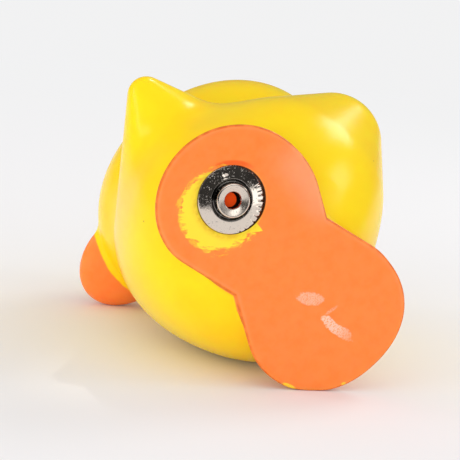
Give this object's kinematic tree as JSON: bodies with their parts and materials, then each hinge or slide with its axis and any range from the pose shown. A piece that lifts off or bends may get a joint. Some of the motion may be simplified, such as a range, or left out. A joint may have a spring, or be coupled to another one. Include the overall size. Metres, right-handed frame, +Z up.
{
  "type": "toy chick figure",
  "caption": "Hollow soft vinyl toy chick lying on its side, with raised wings, a broad bill, a flat painted sole and a metal squeaker disc set in its left foot.",
  "frame": {"origin": "on the surface the figure lies on, under the middle of its bounding box", "axes": "+Z up from that surface, +Y from the sole towards the crown of the head, +X to the right of a viewer who faces the sole"},
  "size_m": [0.0764, 0.1006, 0.0625],
  "materials": {
    "vinyl": "satin",
    "plated_steel": "polished, tarnished",
    "orange_plastic": "satin",
    "reed_brass": "rolled"
  },
  "bodies": {
    "root": {"chick_body": "vinyl", "squeaker_cap": "plated_steel", "squeaker_barrel": "orange_plastic", "squeaker_reed": "reed_brass"}
  },
  "joints": []
}
